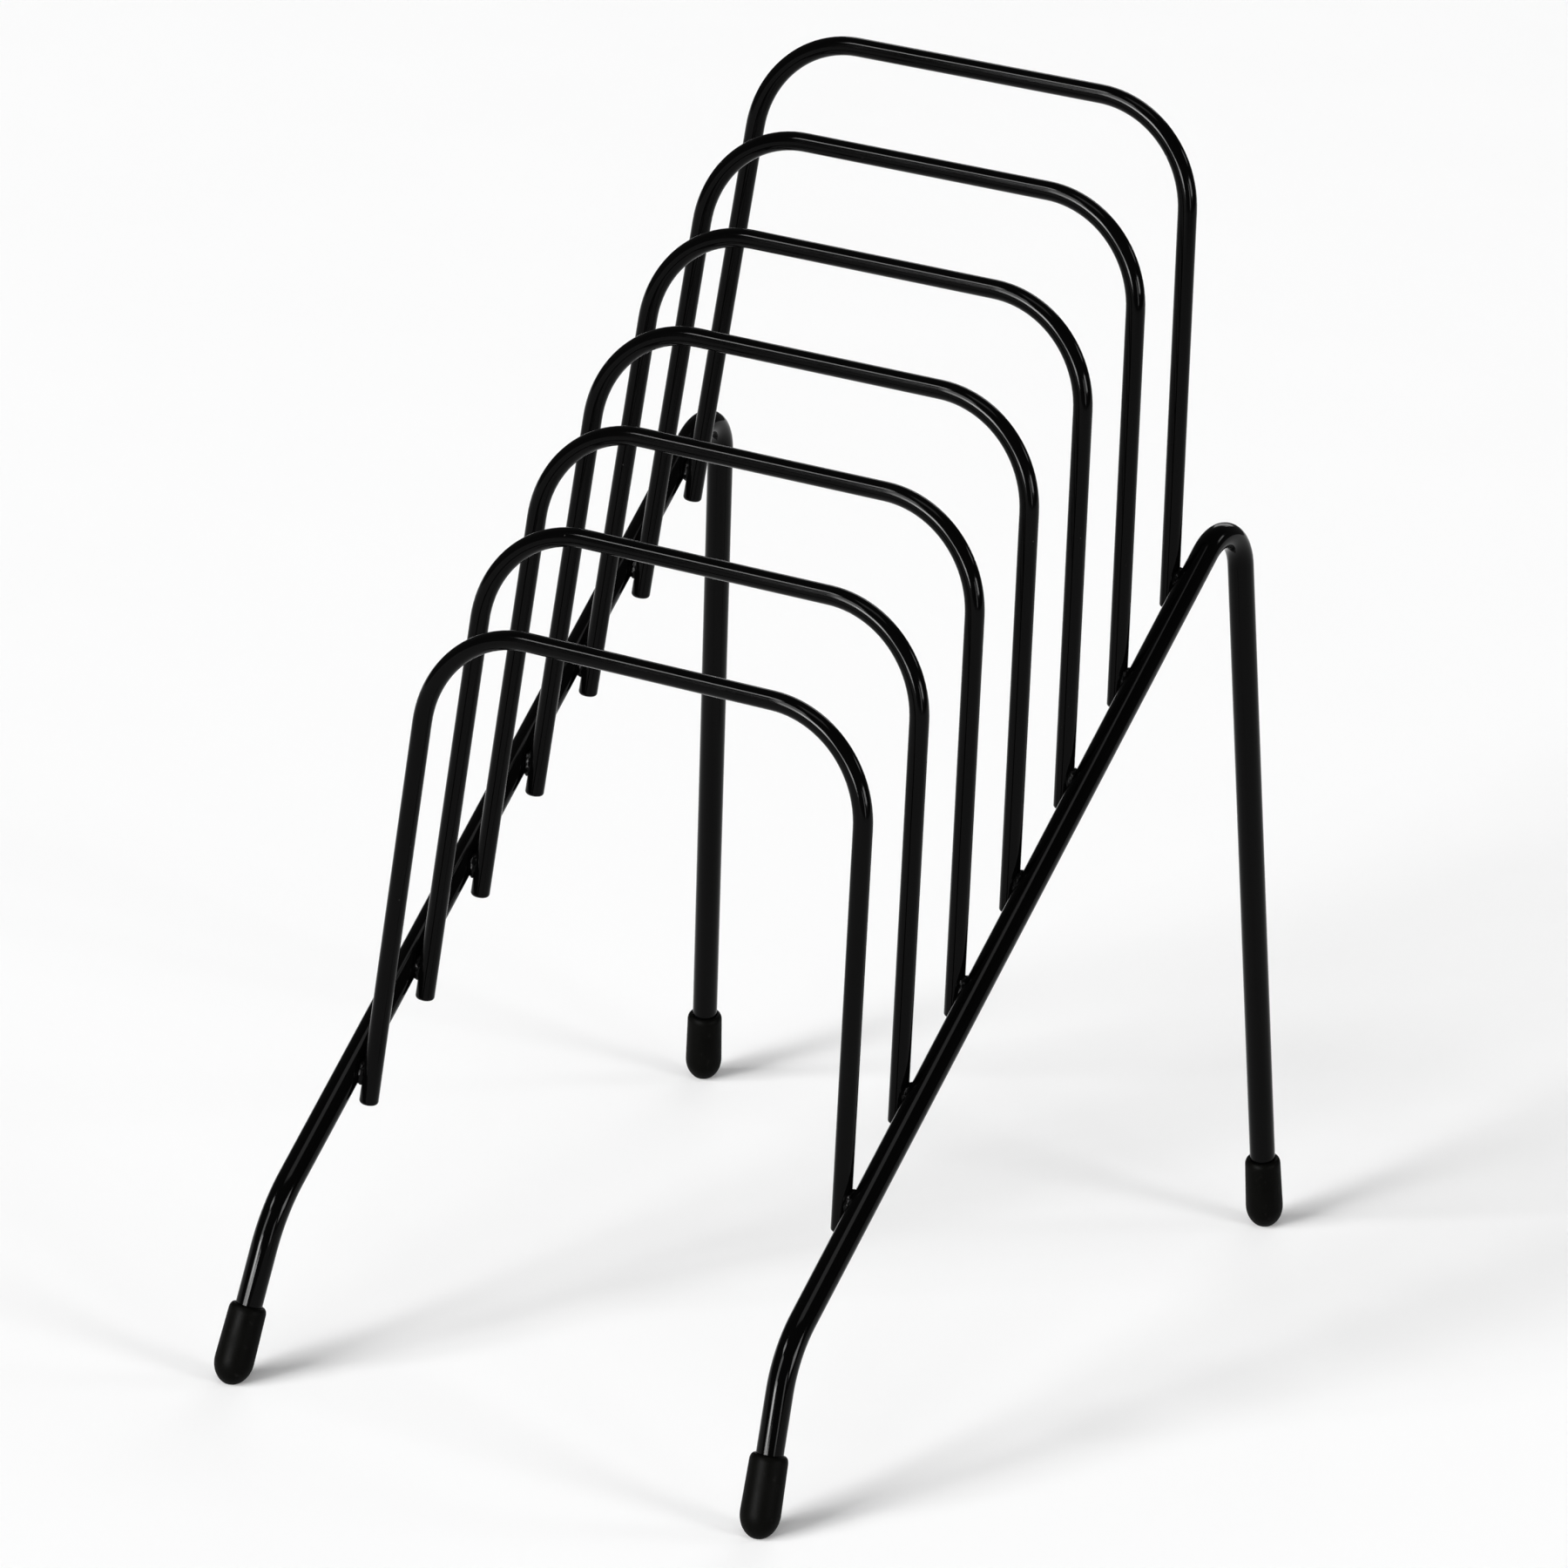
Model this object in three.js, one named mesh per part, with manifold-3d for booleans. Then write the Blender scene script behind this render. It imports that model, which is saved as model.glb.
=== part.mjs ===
// A stepped wire file rack.
// Two bent side rails climb from the front feet to the rear, seven wire loops are
// welded between them as dividers, and a soft cap covers each of the four feet.
// Millimetres, +Z up, +Y to the rear, +X to the right as seen from the front.

import * as THREE from "three";
import { mergeVertices } from "three/addons/utils/BufferGeometryUtils.js";
import Module from "manifold-3d";

const wasm = await Module();
wasm.setup();

// Side rails: each rod runs foot, front bend, slope, rear bend, foot.
// Angles are taken from the floor, and splays outwards from straight fore and aft.
const RAIL_DIAMETER = 6.5;
const FRONT_BEND_X = 69.3; // from the middle to the rod's centre line
const FRONT_BEND_HEIGHT = 41;
const FRONT_BEND_RADIUS = 30;
const REAR_BEND_RADIUS = 12;
const FRONT_LEG_ANGLE = THREE.MathUtils.degToRad(73.2);
const FRONT_LEG_SPLAY = THREE.MathUtils.degToRad(3.34);
const SLOPE_ANGLE = THREE.MathUtils.degToRad(38.73);
const SLOPE_SPLAY = THREE.MathUtils.degToRad(0.69);
const REAR_LEG_ANGLE = THREE.MathUtils.degToRad(79.5);
const REAR_LEG_SPLAY = THREE.MathUtils.degToRad(2.94);
const RUN_TO_FIRST_WELD = 33.4; // straight, after the front bend
const RUN_PAST_LAST_WELD = 7.8; // straight, before the rear bend

// Dividers: inverted U loops of thinner rod, welded to the inner side of the rails
const DIVIDER_COUNT = 7;
const DIVIDER_DIAMETER = 4.7;
const DIVIDER_PITCH = 31.4; // along the slope
const DIVIDER_LEAN = THREE.MathUtils.degToRad(3.3);
const DIVIDER_RISE = 113; // from the weld to the top bar's centre line
const LEG_END = 8.5; // of each leg below its weld
const TOP_HALF_WIDTH = 57.7; // where the legs' centre lines would meet the top bar's
const TOP_CORNER_RADIUS = 26.4;

// Welds: a flat bead round each crossing of leg and rail
const WELD_RADIUS = 4;
const WELD_HALF_THICKNESS = 1.8;
const WELD_GAP = 0.3; // between the two rods
const BEAD_CLEARANCE = 0.3; // between the bead and each rod

// Foot caps: blind sleeves with a round nose, flat where they stand
const CAP_LENGTH = 19.4;
const CAP_MOUTH_DIAMETER = 9.1;
const CAP_NOSE_DIAMETER = 9.7;
const CAP_NOSE_LENGTH = 6.2; // from the widest ring to the uncut tip
const CAP_FLOOR = 2; // under the rod's end, along the leg
const CAP_CLEARANCE = 0.3; // round the rod and under its end
const CAP_LIP_RADIUS = 1;
const CAP_FLAT_DEPTH = 0.5;

// How finely the round shapes are faceted
const RAIL_SIDES = 16;
const DIVIDER_SIDES = 12;
const BEND_STEPS = 8;
const CAP_SIDES = 20;
const ARC_STEPS = 5;
const BEAD_SIDES = 12;
const BEAD_RINGS = 6;

const coatedSteel = new THREE.MeshStandardMaterial({
  color: 0x0b0b0c,
  roughness: 0.22,
  metalness: 0,
});
const capRubber = new THREE.MeshStandardMaterial({
  color: 0x0e0e0e,
  roughness: 0.7,
  metalness: 0,
});

// The centre line of a rod bent at the inner corners, with one station at each end of
// a straight run and several round a bend
class BentRod extends THREE.Curve {
  constructor(corners, bendRadii) {
    super();
    this.stations = [];
    const last = corners.length - 1;
    this.addStation(corners[0], towards(corners[0], corners[1]));
    for (let i = 1; i < last; i++) {
      this.addBend(corners[i - 1], corners[i], corners[i + 1], bendRadii[i - 1]);
    }
    this.addStation(corners[last], towards(corners[last - 1], corners[last]));
  }

  addStation(point, tangent) {
    this.stations.push({ point: point.clone(), tangent });
  }

  addBend(before, corner, after, radius) {
    const incoming = towards(before, corner);
    const outgoing = towards(corner, after);
    const turn = incoming.angleTo(outgoing);
    const room = Math.min(before.distanceTo(corner), after.distanceTo(corner)) / 2;
    const setback = Math.min(bendSetback(incoming, outgoing, radius), room);
    const arcRadius = setback / Math.tan(turn / 2);
    const start = corner.clone().addScaledVector(incoming, -setback);
    const axis = new THREE.Vector3().crossVectors(incoming, outgoing).normalize();
    const inward = new THREE.Vector3().crossVectors(axis, incoming);
    const centre = start.clone().addScaledVector(inward, arcRadius);
    for (let k = 0; k <= BEND_STEPS; k++) {
      const angle = (turn * k) / BEND_STEPS;
      const spoke = start.clone().sub(centre).applyAxisAngle(axis, angle);
      const tangent = incoming.clone().applyAxisAngle(axis, angle);
      this.addStation(spoke.add(centre), tangent);
    }
  }

  get steps() {
    return this.stations.length - 1;
  }

  getPointAt(u, target = new THREE.Vector3()) {
    return target.copy(this.stations[Math.round(u * this.steps)].point);
  }

  getTangentAt(u, target = new THREE.Vector3()) {
    return target.copy(this.stations[Math.round(u * this.steps)].tangent);
  }
}

function towards(from, to) {
  return to.clone().sub(from).normalize();
}

// From a bend's corner back to where its arc starts
function bendSetback(incoming, outgoing, radius) {
  return radius * Math.tan(incoming.angleTo(outgoing) / 2);
}

function rodGeometry(centreLine, diameter, sides) {
  const section = new THREE.Shape();
  section.absarc(0, 0, diameter / 2, 0, 2 * Math.PI);
  return new THREE.ExtrudeGeometry(section, {
    extrudePath: centreLine,
    steps: centreLine.steps,
    curveSegments: sides / 2, // in each half turn of the circle
  });
}

// A closed geometry as a solid that can be cut
function toSolid(geometry) {
  const bare = geometry.clone();
  bare.deleteAttribute("normal");
  bare.deleteAttribute("uv");
  const merged = mergeVertices(bare, 1e-4);
  return new wasm.Manifold(
    new wasm.Mesh({
      numProp: 3,
      vertProperties: merged.attributes.position.array,
      triVerts: new Uint32Array(merged.index.array),
    }),
  );
}

// A solid as a geometry again
function toGeometry(solid) {
  const mesh = solid.getMesh();
  const geometry = new THREE.BufferGeometry();
  geometry.setAttribute("position", new THREE.BufferAttribute(mesh.vertProperties, 3));
  geometry.setIndex(new THREE.BufferAttribute(mesh.triVerts, 1));
  geometry.computeVertexNormals();
  return geometry;
}

function namedMesh(name, geometry, material) {
  const mesh = new THREE.Mesh(geometry, material);
  mesh.name = name;
  return mesh;
}

// A direction along a side rail, from its angle to the floor and its outward splay
function heading(side, angle, splay) {
  return new THREE.Vector3(
    side * Math.sin(splay),
    Math.cos(splay) * Math.cos(angle),
    Math.cos(splay) * Math.sin(angle),
  );
}

// The four corners of a rail's centre line, from the front foot to the rear one, and
// the straight slope's direction. A foot's corner is where the leg's line meets the floor.
function railLine(side) {
  const frontLeg = heading(side, FRONT_LEG_ANGLE, -FRONT_LEG_SPLAY);
  const slope = heading(side, SLOPE_ANGLE, SLOPE_SPLAY);
  const rearLeg = heading(side, -REAR_LEG_ANGLE, REAR_LEG_SPLAY);
  const slopeStart = bendSetback(frontLeg, slope, FRONT_BEND_RADIUS);
  const firstWeld = slopeStart + RUN_TO_FIRST_WELD;
  const lastWeld = firstWeld + (DIVIDER_COUNT - 1) * DIVIDER_PITCH;
  const slopeEnd = lastWeld + RUN_PAST_LAST_WELD;
  const slopeLength = slopeEnd + bendSetback(slope, rearLeg, REAR_BEND_RADIUS);
  const frontBend = new THREE.Vector3(side * FRONT_BEND_X, 0, FRONT_BEND_HEIGHT);
  const rearBend = frontBend.clone().addScaledVector(slope, slopeLength);
  const frontFoot = frontBend.clone().addScaledVector(frontLeg, -frontBend.z / frontLeg.z);
  const rearFoot = rearBend.clone().addScaledVector(rearLeg, -rearBend.z / rearLeg.z);
  return { frontFoot, frontBend, rearBend, rearFoot, slope, firstWeld };
}

// Each rod stops short of the floor, inside its cap
function makeRail(name, side) {
  const { frontFoot, frontBend, rearBend, rearFoot } = railLine(side);
  const endHeight = CAP_FLOOR + CAP_CLEARANCE;
  frontFoot.addScaledVector(towards(frontFoot, frontBend), endHeight);
  rearFoot.addScaledVector(towards(rearFoot, rearBend), endHeight);
  const centreLine = new BentRod(
    [frontFoot, frontBend, rearBend, rearFoot],
    [FRONT_BEND_RADIUS, REAR_BEND_RADIUS],
  );
  return namedMesh(name, rodGeometry(centreLine, RAIL_DIAMETER, RAIL_SIDES), coatedSteel);
}

// Where a rail's centre line passes the weld of the divider with this index
function railAtDivider(side, index) {
  const { frontBend, slope, firstWeld } = railLine(side);
  return frontBend.clone().addScaledVector(slope, firstWeld + index * DIVIDER_PITCH);
}

// From the divider's middle plane to its leg's centre line, at the height of the weld
function weldHalfWidth(index) {
  return railAtDivider(1, index).x - RAIL_DIAMETER / 2 - WELD_GAP - DIVIDER_DIAMETER / 2;
}

// A loop drawn in its own plane, with its origin between the two welds
function makeDivider(name, index) {
  const weldX = weldHalfWidth(index);
  const flare = (weldX - TOP_HALF_WIDTH) / DIVIDER_RISE;
  const endX = weldX + flare * LEG_END;
  const centreLine = new BentRod(
    [
      new THREE.Vector3(-endX, 0, -LEG_END),
      new THREE.Vector3(-TOP_HALF_WIDTH, 0, DIVIDER_RISE),
      new THREE.Vector3(TOP_HALF_WIDTH, 0, DIVIDER_RISE),
      new THREE.Vector3(endX, 0, -LEG_END),
    ],
    [TOP_CORNER_RADIUS, TOP_CORNER_RADIUS],
  );
  const geometry = rodGeometry(centreLine, DIVIDER_DIAMETER, DIVIDER_SIDES);
  const divider = namedMesh(name, geometry, coatedSteel);
  const rail = railAtDivider(1, index);
  divider.position.set(0, rail.y, rail.z);
  divider.rotation.x = -DIVIDER_LEAN;
  return divider;
}

// A straight rod through a point, long enough to cut a bead right through
function cuttingRod(through, direction, diameter) {
  const reach = 4 * WELD_RADIUS;
  const centreLine = new BentRod(
    [
      through.clone().addScaledVector(direction, -reach),
      through.clone().addScaledVector(direction, reach),
    ],
    [],
  );
  return toSolid(rodGeometry(centreLine, diameter, BEAD_SIDES));
}

// The point of a straight line that comes nearest to another line
function nearestPoint(line, other) {
  const across = new THREE.Vector3().crossVectors(line.direction, other.direction);
  const away = new THREE.Vector3().crossVectors(other.direction, across);
  const offset = other.point.clone().sub(line.point).dot(away);
  const along = offset / line.direction.dot(away);
  return line.point.clone().addScaledVector(line.direction, along);
}

// A flattened ball centred between the two rods where they pass closest, with both of
// them and a clearance cut out of it, so that it rings the crossing
function makeWeld(name, side, index) {
  const crossing = railAtDivider(side, index);
  const legX = side * weldHalfWidth(index);
  const legRun = new THREE.Vector3(
    side * TOP_HALF_WIDTH - legX,
    Math.sin(DIVIDER_LEAN) * DIVIDER_RISE,
    Math.cos(DIVIDER_LEAN) * DIVIDER_RISE,
  );
  const rail = { point: crossing, direction: railLine(side).slope };
  const leg = { point: crossing.clone().setX(legX), direction: legRun.normalize() };
  const railNear = nearestPoint(rail, leg);
  const legNear = nearestPoint(leg, rail);
  const across = towards(legNear, railNear);
  const railFace = legNear.distanceTo(railNear) - RAIL_DIAMETER / 2;
  const middle = legNear
    .clone()
    .addScaledVector(across, (DIVIDER_DIAMETER / 2 + railFace) / 2);

  const ball = new THREE.SphereGeometry(WELD_RADIUS, BEAD_SIDES, BEAD_RINGS);
  ball.scale(1, WELD_HALF_THICKNESS / WELD_RADIUS, 1);
  ball.applyQuaternion(
    new THREE.Quaternion().setFromUnitVectors(new THREE.Vector3(0, 1, 0), across),
  );
  const railCut = cuttingRod(
    railNear.sub(middle),
    rail.direction,
    RAIL_DIAMETER + 2 * BEAD_CLEARANCE,
  );
  const legCut = cuttingRod(
    legNear.sub(middle),
    leg.direction,
    DIVIDER_DIAMETER + 2 * BEAD_CLEARANCE,
  );
  const bead = toSolid(ball).subtract(railCut).subtract(legCut);
  const weld = namedMesh(name, toGeometry(bead), coatedSteel);
  weld.position.copy(middle);
  return weld;
}

// Points of a quarter ellipse from one angle on, round a centre in the profile's plane
function quarterArc(centreX, centreY, radiusX, radiusY, fromAngle) {
  const points = [];
  for (let k = 0; k <= ARC_STEPS; k++) {
    const angle = fromAngle + ((Math.PI / 2) * k) / ARC_STEPS;
    points.push(
      new THREE.Vector2(
        centreX + radiusX * Math.cos(angle),
        centreY + radiusY * Math.sin(angle),
      ),
    );
  }
  return points;
}

// A cap turned round its leg's line and cut flat at the floor.
// Its origin is where that line meets the floor.
function makeCap(name, foot, bend) {
  const legDirection = towards(foot, bend);
  const noseRadius = CAP_NOSE_DIAMETER / 2;
  const mouthRadius = CAP_MOUTH_DIAMETER / 2;
  const boreRadius = RAIL_DIAMETER / 2 + CAP_CLEARANCE;
  const lipRadius = Math.min(CAP_LIP_RADIUS, mouthRadius - boreRadius);
  const tilt = Math.acos(legDirection.z);
  const noseDepth = Math.hypot(
    noseRadius * Math.sin(tilt),
    CAP_NOSE_LENGTH * Math.cos(tilt),
  );
  const noseCentre = (noseDepth - CAP_FLAT_DEPTH) / legDirection.z;
  const nose = quarterArc(0, noseCentre, noseRadius, CAP_NOSE_LENGTH, -Math.PI / 2);
  nose[0].x = 0;
  const lip = quarterArc(
    mouthRadius - lipRadius,
    CAP_LENGTH - lipRadius,
    lipRadius,
    lipRadius,
    0,
  );
  const profile = [
    ...nose,
    ...lip,
    new THREE.Vector2(boreRadius, CAP_LENGTH),
    new THREE.Vector2(boreRadius, CAP_FLOOR),
    new THREE.Vector2(0, CAP_FLOOR),
  ];
  const turned = new THREE.LatheGeometry(profile, CAP_SIDES);
  turned.applyQuaternion(
    new THREE.Quaternion().setFromUnitVectors(new THREE.Vector3(0, 1, 0), legDirection),
  );
  const belowFloor = new THREE.BoxGeometry(CAP_LENGTH, CAP_LENGTH, CAP_LENGTH);
  belowFloor.translate(0, 0, -CAP_LENGTH / 2);
  const cap = namedMesh(
    name,
    toGeometry(toSolid(turned).subtract(toSolid(belowFloor))),
    capRubber,
  );
  cap.position.copy(foot);
  return cap;
}

const rack = new THREE.Group();
for (const [sideName, side] of [["left", -1], ["right", 1]]) {
  const { frontFoot, frontBend, rearBend, rearFoot } = railLine(side);
  rack.add(makeRail(`${sideName}_side_rail`, side));
  rack.add(makeCap(`front_${sideName}_foot_cap`, frontFoot, frontBend));
  rack.add(makeCap(`rear_${sideName}_foot_cap`, rearFoot, rearBend));
  for (let i = 0; i < DIVIDER_COUNT; i++) {
    rack.add(makeWeld(`weld_${sideName}_${i + 1}`, side, i));
  }
}
for (let i = 0; i < DIVIDER_COUNT; i++) {
  rack.add(makeDivider(`divider_${i + 1}`, i));
}

// The origin is on the floor, under the middle of the whole rack
const extent = new THREE.Box3().setFromObject(rack, true);
rack.position.y = -(extent.min.y + extent.max.y) / 2;

const organizer = new THREE.Group();
organizer.add(rack);

export default organizer;
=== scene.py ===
# %% [markdown]
# # A stepped wire file rack
# The rack is bent and welded steel rod under a thin black coat. Two side rails climb from
# the front feet to the rear, seven lighter loops stand on them as dividers, and a soft
# cap covers each foot. Nothing on it moves, so every piece rides on one body.
#
# The imported model is the frame: it says where each piece is. We load it first and keep
# its box, to see at the end how far the finished pieces reach past it.

# %% Load the frame
import math

import bmesh
import bpy
from mathutils import Matrix, Vector


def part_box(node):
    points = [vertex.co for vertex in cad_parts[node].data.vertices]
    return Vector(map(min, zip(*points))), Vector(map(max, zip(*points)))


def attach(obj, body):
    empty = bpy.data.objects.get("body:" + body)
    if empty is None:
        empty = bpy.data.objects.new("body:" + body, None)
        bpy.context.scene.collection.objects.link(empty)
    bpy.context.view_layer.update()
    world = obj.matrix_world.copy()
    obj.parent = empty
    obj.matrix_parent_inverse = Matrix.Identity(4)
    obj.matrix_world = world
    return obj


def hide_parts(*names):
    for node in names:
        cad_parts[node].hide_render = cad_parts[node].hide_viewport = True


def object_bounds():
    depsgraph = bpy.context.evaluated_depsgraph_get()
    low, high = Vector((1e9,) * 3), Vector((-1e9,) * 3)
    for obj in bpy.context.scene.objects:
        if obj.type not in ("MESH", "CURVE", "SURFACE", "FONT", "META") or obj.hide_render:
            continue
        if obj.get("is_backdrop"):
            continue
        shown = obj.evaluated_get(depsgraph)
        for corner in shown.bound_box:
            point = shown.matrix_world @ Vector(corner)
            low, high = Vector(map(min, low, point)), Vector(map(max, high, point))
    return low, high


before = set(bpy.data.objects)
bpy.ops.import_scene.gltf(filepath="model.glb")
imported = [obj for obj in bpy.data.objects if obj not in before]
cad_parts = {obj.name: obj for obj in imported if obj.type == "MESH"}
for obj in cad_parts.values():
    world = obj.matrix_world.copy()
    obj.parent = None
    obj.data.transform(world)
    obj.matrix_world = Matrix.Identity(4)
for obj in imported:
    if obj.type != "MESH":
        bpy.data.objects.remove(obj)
cad_low, cad_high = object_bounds()
scene = bpy.context.scene
MM = 0.001
print("the rack measures", [round(side / MM, 1) for side in cad_high - cad_low], "mm")

# %% [markdown]
# ## The camera
# The picture was taken from the front right, a little above the rack, with a long lens
# from almost two metres away. A long lens keeps the rails nearly parallel. The camera is
# turned like a tripod head: round the upright, then down, then rolled a few degrees.

# %% Place the camera
CAMERA_PLACE = Vector((0.7726, -1.5051, 0.6983))
CAMERA_AZIMUTH = math.radians(27.198)
CAMERA_ELEVATION = math.radians(18.457)
CAMERA_ROLL = math.radians(4.362)
CAMERA_LENS = 169.08  # mm
CAMERA_SENSOR = 36  # mm


def place_camera():
    data = bpy.data.cameras.new("camera")
    data.lens = CAMERA_LENS
    data.sensor_width = CAMERA_SENSOR
    camera = bpy.data.objects.new("camera", data)
    camera.matrix_world = (
        Matrix.Translation(CAMERA_PLACE)
        @ Matrix.Rotation(CAMERA_AZIMUTH, 4, "Z")
        @ Matrix.Rotation(math.pi / 2 - CAMERA_ELEVATION, 4, "X")
        @ Matrix.Rotation(CAMERA_ROLL, 4, "Z")
    )
    scene.collection.objects.link(camera)
    scene.camera = camera
    return camera


camera = place_camera()
scene.view_settings.view_transform = "Standard"
print("the camera stands", round(camera.location.length, 2), "m from the rack's foot")

# %% [markdown]
# ## Helpers for node trees
# Shapes and finishes are both made with nodes here, so two small helpers save a lot of
# typing. A value given to an input is either a number, a colour and so on, or the output
# of another node, and then it is linked.

# %% Node helpers
def add_node(tree, kind, inputs=(), **settings):
    """A new node with its settings made and its inputs filled."""
    node = tree.nodes.new(kind)
    for name, value in settings.items():
        setattr(node, name, value)
    for key, value in dict(inputs).items():
        if isinstance(value, bpy.types.NodeSocket):
            tree.links.new(value, node.inputs[key])
        else:
            node.inputs[key].default_value = value
    return node


def compute(tree, operation, first, second=0.0):
    """A sum with two numbers."""
    inputs = {0: first, 1: second}
    return add_node(tree, "ShaderNodeMath", inputs, operation=operation).outputs[0]


def compute_vector(tree, operation, first, second=(0, 0, 0)):
    """A sum with two vectors."""
    inputs = {0: first, 1: second}
    node = add_node(tree, "ShaderNodeVectorMath", inputs, operation=operation)
    return node.outputs["Vector"]


def scale_vector(tree, vector, scale):
    """A vector made longer or shorter."""
    node = add_node(tree, "ShaderNodeVectorMath", {0: vector}, operation="SCALE")
    tree.links.new(scale, node.inputs["Scale"])
    return node.outputs["Vector"]


def new_geometry_tree(name, sockets):
    """An empty geometry tree with named inputs, and its input node's outputs."""
    tree = bpy.data.node_groups.new(name, "GeometryNodeTree")
    for socket_name, kind in sockets.items():
        tree.interface.new_socket(
            name=socket_name, in_out="INPUT", socket_type="NodeSocket" + kind
        )
    tree.interface.new_socket(
        name="Mesh", in_out="OUTPUT", socket_type="NodeSocketGeometry"
    )
    return tree, tree.nodes.new("NodeGroupInput").outputs


def close_tree(tree, geometry, material):
    """Ends a tree with real geometry, smooth faces and its material."""
    realized = add_node(tree, "GeometryNodeRealizeInstances", {"Geometry": geometry})
    smooth = add_node(
        tree, "GeometryNodeSetShadeSmooth", {"Geometry": realized.outputs[0]}
    )
    finished = add_node(
        tree,
        "GeometryNodeSetMaterial",
        {"Geometry": smooth.outputs[0], "Material": material},
    )
    add_node(tree, "NodeGroupOutput", {"Mesh": finished.outputs[0]})


def grow(name, tree, values):
    """Runs a tree and returns an object that holds the result as a plain mesh."""
    piece = bpy.data.objects.new(name, bpy.data.meshes.new(name))
    scene.collection.objects.link(piece)
    maker = piece.modifiers.new("maker", "NODES")
    maker.node_group = tree
    for item in tree.interface.items_tree:
        if item.in_out == "INPUT":
            maker[item.identifier] = values[item.name]
    evaluated = piece.evaluated_get(bpy.context.evaluated_depsgraph_get())
    result = bpy.data.meshes.new_from_object(evaluated)
    piece.modifiers.remove(maker)
    piece.data = result
    result.name = name
    return piece


def dress(piece, slot, *nodes):
    """Lets a finished piece stand for its CAD nodes."""
    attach(piece, "root")
    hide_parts(*nodes)


def measure(piece):
    """Prints a piece's faces and volume. A negative volume would be inside out."""
    shape = bmesh.new()
    shape.from_mesh(piece.data)
    open_edges = sum(not edge.is_manifold for edge in shape.edges)
    volume = shape.calc_volume(signed=True) / MM**3
    print(f"{piece.name}: {len(shape.faces)} faces, {open_edges} open edges, {volume:.1f} mm3")
    shape.free()


# %% [markdown]
# ## The black coat
# The rods are dipped or sprayed and then baked, which gives a hard, glossy, nearly black
# skin. Up close it is never perfect: it has the fine ripple of orange peel, its gloss
# drifts a little from place to place, and a few specks of dust lie in it. All of that
# comes from noise on the object's own coordinates, so it stays on the rod.

# %% Make the coat
COAT_DARK = (0.0003, 0.0003, 0.0003, 1)
COAT_LIGHT = (0.0007, 0.0007, 0.0007, 1)
COAT_SPECULAR = 0.065
PEEL_SCALE = 620  # ripples to the metre
PEEL_HEIGHT = 0.002 * MM
DRIFT_SCALE = 45
ROD_ROUGHNESS = (0.07, 0.12)
WELD_ROUGHNESS = (0.22, 0.34)
SPECK_SCALE = 330
SPECK_SIZE = 0.07  # of the distance between specks
DUST_PATCH_SCALE = SPECK_SCALE / 8
DUST_PATCH_EDGE = (0.6, 0.64)  # the noise where a dusty patch starts and is full
DUST_COLOUR = (0.03, 0.03, 0.028, 1)
DUST_ROUGHNESS = 0.3  # added to the coat's own
NOISE_SPAN = (0.3, 0.7)  # where nearly all values of a noise lie


def new_material(name):
    """A material with its Principled shader, and the object's coordinates."""
    material = bpy.data.materials.new(name)
    material.use_nodes = True
    tree = material.node_tree
    shader = tree.nodes["Principled BSDF"]
    place = add_node(tree, "ShaderNodeTexCoord").outputs["Object"]
    return material, tree, shader, place


def noise(tree, place, scale, detail=2.0, roughness=0.5):
    """Soft noise from 0 to 1, with a scale in waves to the metre."""
    inputs = {"Vector": place, "Scale": scale, "Detail": detail, "Roughness": roughness}
    return add_node(tree, "ShaderNodeTexNoise", inputs).outputs["Fac"]


def remap(tree, value, span, new_span):
    """A value stretched from one span of numbers to another, and held inside it."""
    inputs = {
        "Value": value,
        "From Min": span[0],
        "From Max": span[1],
        "To Min": new_span[0],
        "To Max": new_span[1],
    }
    return add_node(tree, "ShaderNodeMapRange", inputs).outputs["Result"]


def mix_colours(tree, share, first, second):
    """The first colour at a share of 0, the second at 1."""
    node = add_node(tree, "ShaderNodeMixRGB", {0: share, 1: first, 2: second})
    return node.outputs[0]


def add_bump(tree, shader, height, distance):
    """Lets a surface look raised by a distance in metres where the height is 1."""
    inputs = {"Height": height, "Distance": distance, "Strength": 1.0}
    bump = add_node(tree, "ShaderNodeBump", inputs)
    tree.links.new(bump.outputs["Normal"], shader.inputs["Normal"])


def make_coat(name, roughness, peel_height):
    material, tree, shader, place = new_material(name)
    drift = noise(tree, place, DRIFT_SCALE, detail=3)
    peel = noise(tree, place, PEEL_SCALE, detail=1.5)
    cells = add_node(
        tree, "ShaderNodeTexVoronoi", {"Vector": place, "Scale": SPECK_SCALE}
    )
    speck = remap(tree, cells.outputs["Distance"], (SPECK_SIZE, 0), (0, 1))
    patch = noise(tree, place, DUST_PATCH_SCALE)
    dust = compute(tree, "MULTIPLY", speck, remap(tree, patch, DUST_PATCH_EDGE, (0, 1)))
    colour = mix_colours(tree, drift, COAT_DARK, COAT_LIGHT)
    tree.links.new(
        mix_colours(tree, dust, colour, DUST_COLOUR), shader.inputs["Base Color"]
    )
    gloss = remap(tree, drift, NOISE_SPAN, roughness)
    dulled = compute(tree, "MULTIPLY", dust, DUST_ROUGHNESS)
    tree.links.new(compute(tree, "ADD", gloss, dulled), shader.inputs["Roughness"])
    add_bump(tree, shader, peel, peel_height)
    shader.inputs["Specular IOR Level"].default_value = COAT_SPECULAR
    return material


rod_coat = make_coat("black_rod_coat", ROD_ROUGHNESS, PEEL_HEIGHT)
weld_coat = make_coat("black_weld_coat", WELD_ROUGHNESS, 3 * PEEL_HEIGHT)
print("made the coat for the rods and a rougher one for the welds")

# %% [markdown]
# ## The soft caps
# The caps are dipped vinyl: black, matt, slightly greasy, with a fine grain and the odd
# scuff where they have rubbed on a desk.

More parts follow.
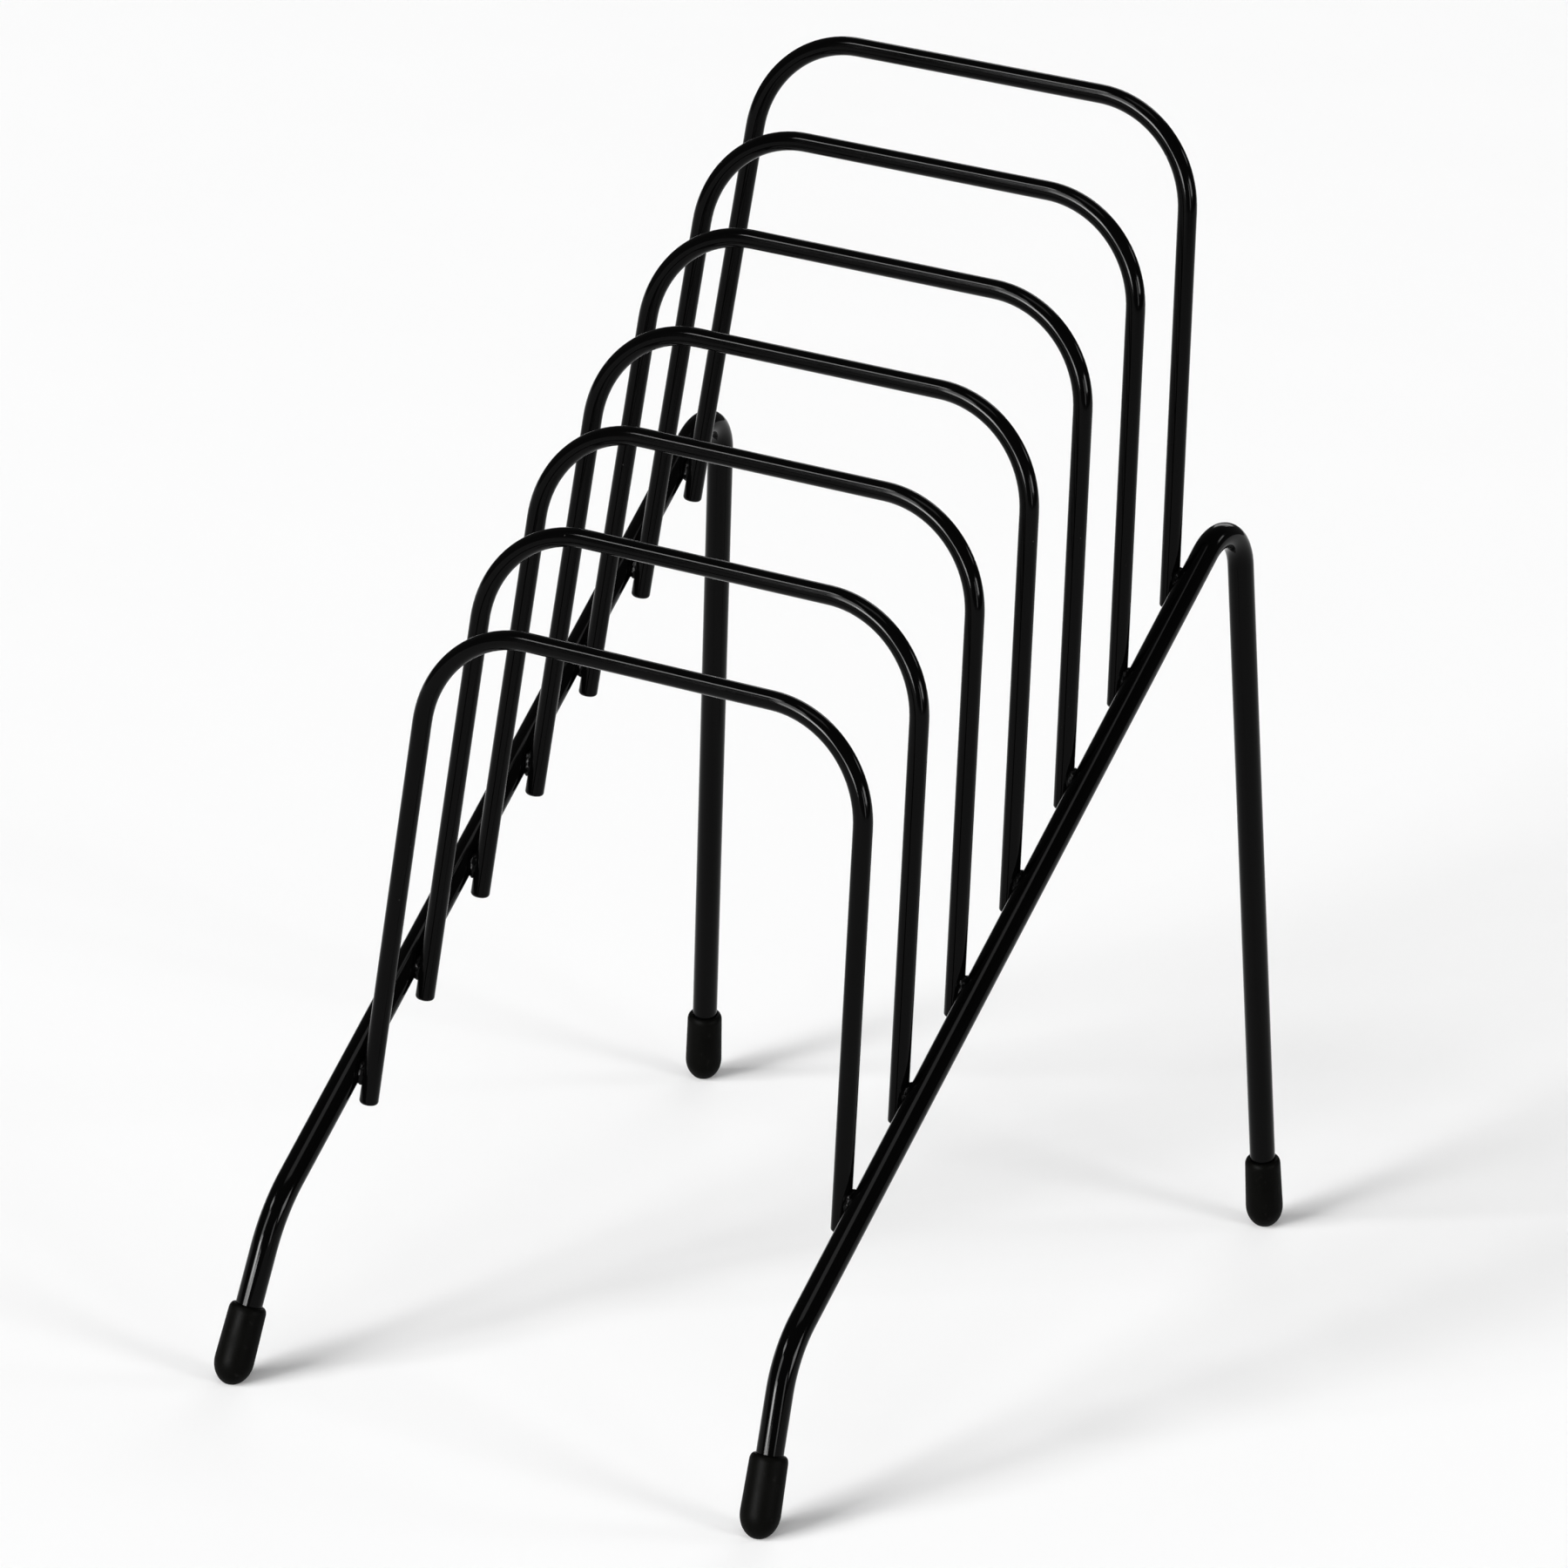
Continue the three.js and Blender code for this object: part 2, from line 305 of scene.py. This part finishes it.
# %% Make the vinyl
VINYL_DARK = (0.0004, 0.0004, 0.0003, 1)
VINYL_LIGHT = (0.0012, 0.0012, 0.001, 1)
VINYL_SPECULAR = 0.023
VINYL_ROUGHNESS = (0.4, 0.52)
VINYL_DRIFT_SCALE = 160
GRAIN_SCALE = 2600
GRAIN_HEIGHT = 0.02 * MM
SCUFF_SCALE = 420
SCUFF_EDGE = (0.6, 0.75)
SCUFF_COLOUR = (0.005, 0.0048, 0.0044, 1)


def make_vinyl():
    material, tree, shader, place = new_material("black_cap_vinyl")
    drift = noise(tree, place, VINYL_DRIFT_SCALE, detail=4)
    grain = noise(tree, place, GRAIN_SCALE, detail=3)
    rubbed = noise(tree, place, SCUFF_SCALE, detail=5, roughness=0.7)
    scuff = remap(tree, rubbed, SCUFF_EDGE, (0, 1))
    colour = mix_colours(tree, drift, VINYL_DARK, VINYL_LIGHT)
    tree.links.new(
        mix_colours(tree, scuff, colour, SCUFF_COLOUR), shader.inputs["Base Color"]
    )
    gloss = remap(tree, drift, NOISE_SPAN, VINYL_ROUGHNESS)
    tree.links.new(gloss, shader.inputs["Roughness"])
    add_bump(tree, shader, grain, GRAIN_HEIGHT)
    shader.inputs["Specular IOR Level"].default_value = VINYL_SPECULAR
    return material


cap_vinyl = make_vinyl()
print("made the vinyl for the caps")

# %% [markdown]
# ## A bent rod
# Every rod here is the same idea: four points, with a bend at the two in the middle. A
# tree places the points, rounds the two corners with Fillet Curve, and sweeps a circle
# along the line. The ends of cut rod are tumbled round before coating, so the first and
# last few points follow a quarter circle, and the radius shrinks with it.

# %% Build the rod tree
END_STEPS = 6
BEND_STEPS = 24
ROD_SIDES = 40


def rounded_end(tree, sockets, tip, neighbour, step):
    """The place and the radius of one station of a rounded rod end."""
    angle = compute(tree, "MULTIPLY", step, math.pi / 2 / END_STEPS)
    slack = compute(tree, "SUBTRACT", 1.0, compute(tree, "COSINE", angle))
    inset = compute(tree, "MULTIPLY", sockets["End Rounding"], slack)
    inward = compute_vector(
        tree, "NORMALIZE", compute_vector(tree, "SUBTRACT", neighbour, tip)
    )
    place = compute_vector(tree, "ADD", tip, scale_vector(tree, inward, inset))
    spread = compute(tree, "SUBTRACT", compute(tree, "SINE", angle), 1.0)
    radius = compute(
        tree,
        "ADD",
        sockets["Rod Radius"],
        compute(tree, "MULTIPLY", sockets["End Rounding"], spread),
    )
    return place, radius


def choose(tree, data_type, index, values):
    """One of several values, by a number counted from 0."""
    node = add_node(tree, "GeometryNodeIndexSwitch", data_type=data_type)
    while len(node.index_switch_items) < len(values):
        node.index_switch_items.new()
    tree.links.new(index, node.inputs["Index"])
    for number, value in enumerate(values):
        socket = node.inputs[str(number)]
        if isinstance(value, bpy.types.NodeSocket):
            tree.links.new(value, socket)
        else:
            socket.default_value = value
    return node.outputs[0]


def build_rod_tree():
    tree, sockets = new_geometry_tree(
        "bent rod",
        {
            "Start": "Vector",
            "First Bend": "Vector",
            "Second Bend": "Vector",
            "End": "Vector",
            "First Radius": "Float",
            "Second Radius": "Float",
            "Rod Radius": "Float",
            "End Rounding": "Float",
            "Material": "Material",
        },
    )
    index = add_node(tree, "GeometryNodeInputIndex").outputs[0]
    last = 2 * END_STEPS + 3
    from_start = compute(tree, "MINIMUM", index, END_STEPS)
    from_end = compute(tree, "MINIMUM", compute(tree, "SUBTRACT", last, index), END_STEPS)
    start_place, start_radius = rounded_end(
        tree, sockets, sockets["Start"], sockets["First Bend"], from_start
    )
    end_place, end_radius = rounded_end(
        tree, sockets, sockets["End"], sockets["Second Bend"], from_end
    )
    # 0 for the start's stations, 1 and 2 for the bends, 3 for the end's stations
    part = compute(tree, "MAXIMUM", compute(tree, "SUBTRACT", index, END_STEPS), 0.0)
    part = compute(tree, "MINIMUM", part, 3.0)
    places = [start_place, sockets["First Bend"], sockets["Second Bend"], end_place]
    radii = [start_radius, sockets["Rod Radius"], sockets["Rod Radius"], end_radius]
    points = add_node(
        tree,
        "GeometryNodePoints",
        {"Count": last + 1, "Position": choose(tree, "VECTOR", part, places)},
    )
    line = add_node(
        tree, "GeometryNodePointsToCurves", {"Points": points.outputs[0]}
    )
    thick = add_node(
        tree,
        "GeometryNodeSetCurveRadius",
        {"Curve": line.outputs[0], "Radius": choose(tree, "FLOAT", part, radii)},
    )
    bends = [0.0, sockets["First Radius"], sockets["Second Radius"], 0.0]
    bent = add_node(
        tree,
        "GeometryNodeFilletCurve",
        {
            "Curve": thick.outputs[0],
            "Radius": choose(tree, "FLOAT", part, bends),
            "Count": choose(tree, "INT", part, [0, BEND_STEPS, BEND_STEPS, 0]),
        },
        mode="POLY",
    )
    circle = add_node(
        tree, "GeometryNodeCurvePrimitiveCircle", {"Resolution": ROD_SIDES, "Radius": 1.0}
    )
    swept = add_node(
        tree,
        "GeometryNodeCurveToMesh",
        {
            "Curve": bent.outputs[0],
            "Profile Curve": circle.outputs[0],
            "Scale": add_node(tree, "GeometryNodeInputRadius").outputs[0],
            "Fill Caps": True,
        },
    )
    close_tree(tree, swept.outputs[0], sockets["Material"])
    return tree


rod_tree = build_rod_tree()
print("the rod tree has", len(rod_tree.nodes), "nodes")

# %% [markdown]
# ## The side rails
# A rail is one rod: a splayed front leg, an easy bend, the long straight slope that the
# dividers are welded to, a tight bend at the top, and a long rear leg. The directions are
# given by angles, as a bending jig would be set, and the lengths follow from them. The
# frame says how far back the rack stands, so the rails land on their CAD nodes.

# %% Work out the rails
RAIL_RADIUS = 6.5 / 2 * MM
FRONT_BEND_X = 69.3 * MM
FRONT_BEND_HEIGHT = 41 * MM
FRONT_BEND_RADIUS = 30 * MM
REAR_BEND_RADIUS = 12 * MM
FRONT_LEG_ANGLE = math.radians(73.2)
FRONT_LEG_SPLAY = math.radians(3.34)
SLOPE_ANGLE = math.radians(38.73)
SLOPE_SPLAY = math.radians(0.69)
REAR_LEG_ANGLE = math.radians(79.5)
REAR_LEG_SPLAY = math.radians(2.94)
RUN_TO_FIRST_WELD = 33.4 * MM
RUN_PAST_LAST_WELD = 7.8 * MM
DIVIDER_COUNT = 7
DIVIDER_PITCH = 31.4 * MM
ROD_END_HEIGHT = 2.3 * MM  # along the leg, inside its cap
ROD_END_ROUNDING = 0.9 * MM
SIDES = {"left": -1, "right": 1}


def heading(side, angle, splay):
    """A direction along a rail, from its angle to the floor and its outward splay."""
    return Vector(
        (
            side * math.sin(splay),
            math.cos(splay) * math.cos(angle),
            math.cos(splay) * math.sin(angle),
        )
    )


def setback(incoming, outgoing, radius):
    """From a bend's corner back to where its arc starts."""
    return radius * math.tan(incoming.angle(outgoing) / 2)


def rail_line(side, back=0.0):
    """A rail's four corners, its slope's direction, and the run to its first weld."""
    front_leg = heading(side, FRONT_LEG_ANGLE, -FRONT_LEG_SPLAY)
    slope = heading(side, SLOPE_ANGLE, SLOPE_SPLAY)
    rear_leg = heading(side, -REAR_LEG_ANGLE, REAR_LEG_SPLAY)
    first_weld = setback(front_leg, slope, FRONT_BEND_RADIUS) + RUN_TO_FIRST_WELD
    welded_run = (DIVIDER_COUNT - 1) * DIVIDER_PITCH
    slope_length = (
        first_weld
        + welded_run
        + RUN_PAST_LAST_WELD
        + setback(slope, rear_leg, REAR_BEND_RADIUS)
    )
    front_bend = Vector((side * FRONT_BEND_X, back, FRONT_BEND_HEIGHT))
    rear_bend = front_bend + slope * slope_length
    front_foot = front_bend - front_leg * (front_bend.z / front_leg.z)
    rear_foot = rear_bend - rear_leg * (rear_bend.z / rear_leg.z)
    return {
        "front_foot": front_foot,
        "front_bend": front_bend,
        "rear_bend": rear_bend,
        "rear_foot": rear_foot,
        "front_leg": front_leg,
        "rear_leg": rear_leg,
        "slope": slope,
        "first_weld": first_weld,
    }


def rack_setback():
    """How far back the front bend lies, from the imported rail's box."""
    low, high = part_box("right_side_rail")
    line = rail_line(1)
    front_end = line["front_foot"] + line["front_leg"] * ROD_END_HEIGHT
    rear_end = line["rear_foot"] - line["rear_leg"] * ROD_END_HEIGHT
    front_reach = RAIL_RADIUS * math.sqrt(1 - line["front_leg"].y ** 2)
    rear_reach = RAIL_RADIUS * math.sqrt(1 - line["rear_leg"].y ** 2)
    own_middle = (front_end.y - front_reach + rear_end.y + rear_reach) / 2
    return (low.y + high.y) / 2 - own_middle


RACK_BACK = rack_setback()
LINES = {name: rail_line(side, RACK_BACK) for name, side in SIDES.items()}
print("the front bend lies at y =", round(RACK_BACK / MM, 2), "mm")

# %% Make the rails
def make_rail(side_name):
    line = LINES[side_name]
    rail = grow(
        side_name + "_rail_rod",
        rod_tree,
        {
            "Start": line["front_foot"] + line["front_leg"] * ROD_END_HEIGHT,
            "First Bend": line["front_bend"],
            "Second Bend": line["rear_bend"],
            "End": line["rear_foot"] - line["rear_leg"] * ROD_END_HEIGHT,
            "First Radius": FRONT_BEND_RADIUS,
            "Second Radius": REAR_BEND_RADIUS,
            "Rod Radius": RAIL_RADIUS,
            "End Rounding": ROD_END_ROUNDING,
            "Material": rod_coat,
        },
    )
    measure(rail)
    dress(rail, "coated_wire", side_name + "_side_rail")


for side_name in SIDES:
    make_rail(side_name)

# %% [markdown]
# ## The dividers
# Seven loops, all bent on one jig and welded to the inner side of the rails at an even
# pitch. The rails spread towards the rear, so each loop's legs are sprung a little
# wider than the last one's. The same rod tree makes them, with the loop's own sizes.

# %% Make the dividers
DIVIDER_RADIUS = 4.69 / 2 * MM
DIVIDER_LEAN = math.radians(3.3)
DIVIDER_RISE = 113 * MM
LEG_END = 8.5 * MM
TOP_HALF_WIDTH = 57.7 * MM
TOP_CORNER_RADIUS = 26.4 * MM
WELD_GAP = 0.3 * MM
DIVIDER_END_ROUNDING = 0.9 * MM


def rail_at_divider(side_name, number):
    """Where a rail's centre line passes the weld of a divider, counted from 0."""
    line = LINES[side_name]
    return line["front_bend"] + line["slope"] * (
        line["first_weld"] + number * DIVIDER_PITCH
    )


def weld_half_width(number):
    """From the middle plane to a leg's centre line, at the height of its weld."""
    rail_x = rail_at_divider("right", number).x
    return rail_x - RAIL_RADIUS - WELD_GAP - DIVIDER_RADIUS


def make_divider(number):
    rail = rail_at_divider("right", number)
    half_width = weld_half_width(number)
    flare = (half_width - TOP_HALF_WIDTH) / DIVIDER_RISE
    end_x = half_width + flare * LEG_END
    up = Vector((0, math.sin(DIVIDER_LEAN), math.cos(DIVIDER_LEAN)))
    foot = Vector((0, rail.y, rail.z)) - up * LEG_END
    top = Vector((0, rail.y, rail.z)) + up * DIVIDER_RISE
    divider = grow(
        f"divider_{number + 1}_loop",
        rod_tree,
        {
            "Start": foot - Vector((end_x, 0, 0)),
            "First Bend": top - Vector((TOP_HALF_WIDTH, 0, 0)),
            "Second Bend": top + Vector((TOP_HALF_WIDTH, 0, 0)),
            "End": foot + Vector((end_x, 0, 0)),
            "First Radius": TOP_CORNER_RADIUS,
            "Second Radius": TOP_CORNER_RADIUS,
            "Rod Radius": DIVIDER_RADIUS,
            "End Rounding": DIVIDER_END_ROUNDING,
            "Material": rod_coat,
        },
    )
    measure(divider)
    dress(divider, "coated_wire", f"divider_{number + 1}")


for number in range(DIVIDER_COUNT):
    make_divider(number)

# %% [markdown]
# ## The welds
# Where a leg crosses its rail, the two rods were pressed together and a current melted
# them into each other. A little metal squeezed out round the contact and froze in lumps,
# and the coat then filled it. A tree puts a long low bead at each crossing of one rail,
# turned to lie between the slope and the upright. It then pushes the bead's skin in and
# out with noise, so no two are alike.

# %% Build the weld tree
WELD_WOBBLE = math.radians(14)
WELD_SWELL = (0.9, 1.06)
BEAD_SUBDIVISIONS = 4


def build_weld_tree():
    tree, sockets = new_geometry_tree(
        "weld row",
        {
            "First": "Vector",
            "Step": "Vector",
            "Count": "Int",
            "Across": "Vector",
            "Along": "Vector",
            "Half Length": "Float",
            "Half Width": "Float",
            "Half Thickness": "Float",
            "Lump Height": "Float",
            "Lump Scale": "Float",
            "Seed": "Int",
            "Material": "Material",
        },
    )
    row = add_node(
        tree,
        "GeometryNodeMeshLine",
        {
            "Count": sockets["Count"],
            "Start Location": sockets["First"],
            "Offset": sockets["Step"],
        },
    )
    bead = add_node(
        tree,
        "GeometryNodeMeshIcoSphere",
        {"Radius": 1.0, "Subdivisions": BEAD_SUBDIVISIONS},
    )
    size = add_node(
        tree,
        "ShaderNodeCombineXYZ",
        {
            "X": sockets["Half Length"],
            "Y": sockets["Half Width"],
            "Z": sockets["Half Thickness"],
        },
    )
    flat = add_node(
        tree,
        "GeometryNodeTransform",
        {"Geometry": bead.outputs["Mesh"], "Scale": size.outputs[0]},
    )
    facing = add_node(
        tree,
        "FunctionNodeAxesToRotation",
        {"Primary Axis": sockets["Across"], "Secondary Axis": sockets["Along"]},
        primary_axis="Z",
        secondary_axis="X",
    )
    wobble = add_node(
        tree,
        "FunctionNodeRandomValue",
        {2: -WELD_WOBBLE, 3: WELD_WOBBLE, "Seed": sockets["Seed"]},
        data_type="FLOAT",
    )
    turn = add_node(
        tree,
        "FunctionNodeAxisAngleToRotation",
        {"Axis": (0, 0, 1), "Angle": wobble.outputs[1]},
    )
    rotation = add_node(
        tree,
        "FunctionNodeRotateRotation",
        {"Rotation": facing.outputs[0], "Rotate By": turn.outputs[0]},
        rotation_space="LOCAL",
    )
    swell = add_node(
        tree,
        "FunctionNodeRandomValue",
        {2: WELD_SWELL[0], 3: WELD_SWELL[1], "Seed": sockets["Seed"]},
        data_type="FLOAT",
    )
    beads = add_node(
        tree,
        "GeometryNodeInstanceOnPoints",
        {
            "Points": row.outputs[0],
            "Instance": flat.outputs[0],
            "Rotation": rotation.outputs[0],
            "Scale": swell.outputs[1],
        },
    )
    real = add_node(tree, "GeometryNodeRealizeInstances", {"Geometry": beads.outputs[0]})
    place = add_node(tree, "GeometryNodeInputPosition").outputs[0]
    lumps = noise(tree, place, sockets["Lump Scale"], detail=3, roughness=0.6)
    height = compute(
        tree, "MULTIPLY", compute(tree, "SUBTRACT", lumps, 0.5), sockets["Lump Height"]
    )
    outward = add_node(tree, "GeometryNodeInputNormal").outputs[0]
    lumpy = add_node(
        tree,
        "GeometryNodeSetPosition",
        {
            "Geometry": real.outputs[0],
            "Offset": scale_vector(tree, outward, height),
        },
    )
    close_tree(tree, lumpy.outputs[0], sockets["Material"])
    return tree


weld_tree = build_weld_tree()
print("the weld tree has", len(weld_tree.nodes), "nodes")

# %% Make the welds
BEAD_HALF_LENGTH = 3.1 * MM
BEAD_HALF_WIDTH = 2.2 * MM
BEAD_HALF_THICKNESS = 1.6 * MM
LUMP_HEIGHT = 1.8 * MM
LUMP_SCALE = 520
WELD_DROP = 1.0 * MM
WELD_SEED = 3


def weld_place(side_name, number):
    """The middle of the contact between a rail and a divider's leg."""
    rail = rail_at_divider(side_name, number)
    leg_face = rail.x - SIDES[side_name] * (RAIL_RADIUS + WELD_GAP / 2)
    return Vector((leg_face, rail.y, rail.z - WELD_DROP))


def make_welds(side_name):
    first = weld_place(side_name, 0)
    welds = grow(
        side_name + "_weld_row",
        weld_tree,
        {
            "First": first,
            "Step": weld_place(side_name, 1) - first,
            "Count": DIVIDER_COUNT,
            "Across": Vector((1, 0, 0)),
            "Along": LINES[side_name]["slope"] + Vector((0, 0, 1)),
            "Half Length": BEAD_HALF_LENGTH,
            "Half Width": BEAD_HALF_WIDTH,
            "Half Thickness": BEAD_HALF_THICKNESS,
            "Lump Height": LUMP_HEIGHT,
            "Lump Scale": LUMP_SCALE,
            "Seed": WELD_SEED,
            "Material": weld_coat,
        },
    )
    measure(welds)
    nodes = [f"weld_{side_name}_{number + 1}" for number in range(DIVIDER_COUNT)]
    dress(welds, "coated_wire", *nodes)


for side_name in SIDES:
    make_welds(side_name)

# %% [markdown]
# ## The foot caps
# Each cap is a short sleeve with a closed round nose, a little wider at the nose than at
# the mouth, and flat where it stands. It is turned on a lathe here: a profile goes once
# round the leg's line. Its nose is a quarter of an ellipse, its two lips are small arcs,
# and straight walls join them. The part below the floor is then cut away, which leaves
# the flat.

# %% Make the caps
CAP_LENGTH = 19.4 * MM
CAP_MOUTH_RADIUS = 9.1 / 2 * MM
CAP_NOSE_RADIUS = 9.56 / 2 * MM
CAP_NOSE_LENGTH = 6.1 * MM  # from the widest ring to the uncut tip
CAP_BORE_RADIUS = RAIL_RADIUS + 0.02 * MM
CAP_FLOOR = 2 * MM
CAP_LIP_WIDTH = 1.0 * MM
CAP_LIP_HEIGHT = 1.7 * MM
CAP_INNER_LIP_RADIUS = 0.2 * MM
CAP_FLAT_DEPTH = 0.5 * MM
CAP_SIDES = 72
ARC_STEPS = 14


def arc(centre, width, height, from_angle):
    """A quarter of an ellipse in the profile's plane, out from the axis and up along it."""
    points = []
    for step in range(ARC_STEPS + 1):
        angle = from_angle + math.pi / 2 * step / ARC_STEPS
        points.append(
            (centre[0] + width * math.cos(angle), centre[1] + height * math.sin(angle))
        )
    return points


def cap_profile(rise):
    """From the nose's tip, up the outside, over the lip and down the bore."""
    lean = math.acos(rise)
    nose_depth = math.hypot(
        CAP_NOSE_RADIUS * math.sin(lean), CAP_NOSE_LENGTH * math.cos(lean)
    )
    nose = (0, (nose_depth - CAP_FLAT_DEPTH) / rise)
    outer_lip = (CAP_MOUTH_RADIUS - CAP_LIP_WIDTH, CAP_LENGTH - CAP_LIP_HEIGHT)
    inner_lip = (CAP_BORE_RADIUS + CAP_INNER_LIP_RADIUS, CAP_LENGTH - CAP_INNER_LIP_RADIUS)
    return [
        *arc(nose, CAP_NOSE_RADIUS, CAP_NOSE_LENGTH, -math.pi / 2),
        *arc(outer_lip, CAP_LIP_WIDTH, CAP_LIP_HEIGHT, 0),
        *arc(inner_lip, CAP_INNER_LIP_RADIUS, CAP_INNER_LIP_RADIUS, math.pi / 2),
        (CAP_BORE_RADIUS, CAP_FLOOR),
        (0, CAP_FLOOR),
    ]


def in_fixed_order(shape):
    """A shape's corners and faces, sorted by place, because the tools above return them in
    another order each time. So the finished mesh is the same in every run."""
    places = {}
    for corner in shape.verts:
        places[corner] = tuple(round(value, 9) + 0.0 for value in corner.co)
    corners = sorted(places.values())
    numbers = {place: number for number, place in enumerate(corners)}
    faces = []
    for face in shape.faces:
        ring = [numbers[places[corner]] for corner in face.verts]
        start = ring.index(min(ring))
        faces.append(ring[start:] + ring[:start])
    return corners, sorted(faces)


def make_cap(name, node, foot, leg):
    shape = bmesh.new()
    rings = [shape.verts.new((x, 0, z)) for x, z in cap_profile(leg.z)]
    edges = [shape.edges.new(pair) for pair in zip(rings, rings[1:])]
    bmesh.ops.spin(
        shape,
        geom=rings + edges,
        cent=(0, 0, 0),
        axis=(0, 0, 1),
        angle=2 * math.pi,
        steps=CAP_SIDES,
    )
    bmesh.ops.remove_doubles(shape, verts=shape.verts, dist=0.001 * MM)
    upright = Vector((0, 0, 1)).rotation_difference(leg).to_matrix().to_4x4()
    shape.transform(Matrix.Translation(foot) @ upright)
    cut = bmesh.ops.bisect_plane(
        shape,
        geom=shape.verts[:] + shape.edges[:] + shape.faces[:],
        plane_co=(0, 0, 0),
        plane_no=(0, 0, -1),
        clear_outer=True,
    )
    rim = [item for item in cut["geom_cut"] if isinstance(item, bmesh.types.BMEdge)]
    bmesh.ops.contextual_create(shape, geom=rim)
    bmesh.ops.recalc_face_normals(shape, faces=shape.faces)
    corners, faces = in_fixed_order(shape)
    shape.free()
    mesh = bpy.data.meshes.new(name)
    mesh.from_pydata(corners, [], faces)
    mesh.shade_smooth()
    mesh.materials.append(cap_vinyl)
    cap = bpy.data.objects.new(name, mesh)
    scene.collection.objects.link(cap)
    measure(cap)
    dress(cap, "foot_cap", node)


for side_name, line in LINES.items():
    front_node = f"front_{side_name}_foot_cap"
    rear_node = f"rear_{side_name}_foot_cap"
    make_cap(f"front_{side_name}_cap", front_node, line["front_foot"], line["front_leg"])
    make_cap(f"rear_{side_name}_cap", rear_node, line["rear_foot"], -line["rear_leg"])

# %% [markdown]
# ## The studio
# A pale floor with soft light. Black gloss shows nothing but what it reflects, so each
# lamp is chosen for the line that it draws on the rods. The front box with its bright
# core draws the line down the front legs, and the low front box carries it round the
# dividers' corners. The two left boxes draw the line along the dividers' tops and round
# the front bends, the two right ones the second line on the legs, and the small overhead
# one the dim line along the slopes. Behind the rack, a wide dim box edges the dividers'
# tops, and a small one draws a line on them for whoever looks from there. The rest of
# the room stays dim, so the rods stay black.
#
# The lamps stand far away, as the sun does, so the floor is as bright near the rack as
# a few metres off.

# %% Light it
RACK_MIDDLE = (cad_low + cad_high) / 2
LAMP_DISTANCE = 100
FLOOR_RADIUS = 6.0
FLOOR_SIDES = 96
FLOOR_FADE_START = 3.5
FLOOR_COLOUR = (0.9, 0.9, 0.9, 1)
FLOOR_SHADE = (0.8865, 0.8865, 0.8865, 1)
FLOOR_GRAIN_SCALE = 9
FLOOR_ROUGHNESS = 0.9
WALL_GLOW = 0.12


def softbox(name, azimuth, elevation, width, height, glow):
    """A rectangular lamp that faces the rack. All angles are in degrees, the lamp's width
    and height as seen from the rack too, and a glow of 1 is as bright as a white card."""
    data = bpy.data.lights.new(name, "AREA")
    data.shape = "RECTANGLE"
    data.size = 2 * LAMP_DISTANCE * math.tan(math.radians(width / 2))
    data.size_y = 2 * LAMP_DISTANCE * math.tan(math.radians(height / 2))
    data.energy = glow * math.pi * data.size * data.size_y
    turn, climb = math.radians(azimuth), math.radians(elevation)
    out = Vector(
        (
            math.sin(turn) * math.cos(climb),
            -math.cos(turn) * math.cos(climb),
            math.sin(climb),
        )
    )
    lamp = bpy.data.objects.new(name, data)
    lamp.location = RACK_MIDDLE + out * LAMP_DISTANCE
    lamp.rotation_mode = "QUATERNION"
    lamp.rotation_quaternion = out.to_track_quat("Z", "Y")
    scene.collection.objects.link(lamp)


def make_floor():
    shape = bmesh.new()
    bmesh.ops.create_circle(
        shape, cap_ends=True, cap_tris=True, segments=FLOOR_SIDES, radius=FLOOR_RADIUS
    )
    mesh = bpy.data.meshes.new("floor")
    shape.to_mesh(mesh)
    shape.free()
    floor = bpy.data.objects.new("floor", mesh)
    scene.collection.objects.link(floor)
    material, tree, shader, place = new_material("pale_sweep")
    grain = noise(tree, place, FLOOR_GRAIN_SCALE, detail=2)
    tree.links.new(
        mix_colours(tree, grain, FLOOR_COLOUR, FLOOR_SHADE), shader.inputs["Base Color"]
    )
    shader.inputs["Roughness"].default_value = FLOOR_ROUGHNESS
    shader.inputs["Specular IOR Level"].default_value = 0
    away = add_node(tree, "ShaderNodeVectorMath", {0: place}, operation="LENGTH")
    fade = remap(
        tree, away.outputs["Value"], (FLOOR_FADE_START, FLOOR_RADIUS), (1, 0)
    )
    tree.links.new(fade, shader.inputs["Alpha"])
    mesh.materials.append(material)
    floor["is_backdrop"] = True


def make_world():
    world = bpy.data.worlds.new("studio")
    world.use_nodes = True
    tree = world.node_tree
    background = tree.nodes["Background"]
    background.inputs["Color"].default_value = (1, 1, 1, 1)
    background.inputs["Strength"].default_value = WALL_GLOW
    scene.world = world


make_floor()
make_world()
softbox("front_box", azimuth=-15, elevation=10.5, width=18, height=16, glow=34)
softbox("front_core", azimuth=-14, elevation=10, width=10, height=8, glow=45)
softbox("front_low_box", azimuth=1, elevation=3.8, width=14, height=6.6, glow=50)
softbox("left_low_box", azimuth=-19, elevation=28, width=15, height=19, glow=14)
softbox("left_high_box", azimuth=-34, elevation=41, width=12, height=8, glow=33)
softbox("right_dim_box", azimuth=61, elevation=8, width=9, height=16, glow=8.5)
softbox("right_box", azimuth=86, elevation=14, width=18, height=12, glow=22)
softbox("overhead", azimuth=25, elevation=73, width=24, height=15, glow=3.2)
softbox("rear_wide_box", azimuth=196, elevation=24, width=32, height=18, glow=3)
softbox("rear_box", azimuth=130, elevation=28, width=12, height=9, glow=8)

# %% How far the pieces reach past the frame's box
low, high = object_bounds()
past = [*(cad_low - low), *(high - cad_high)]
print("outside the CAD box by", [round(reach / MM, 3) for reach in past], "mm")
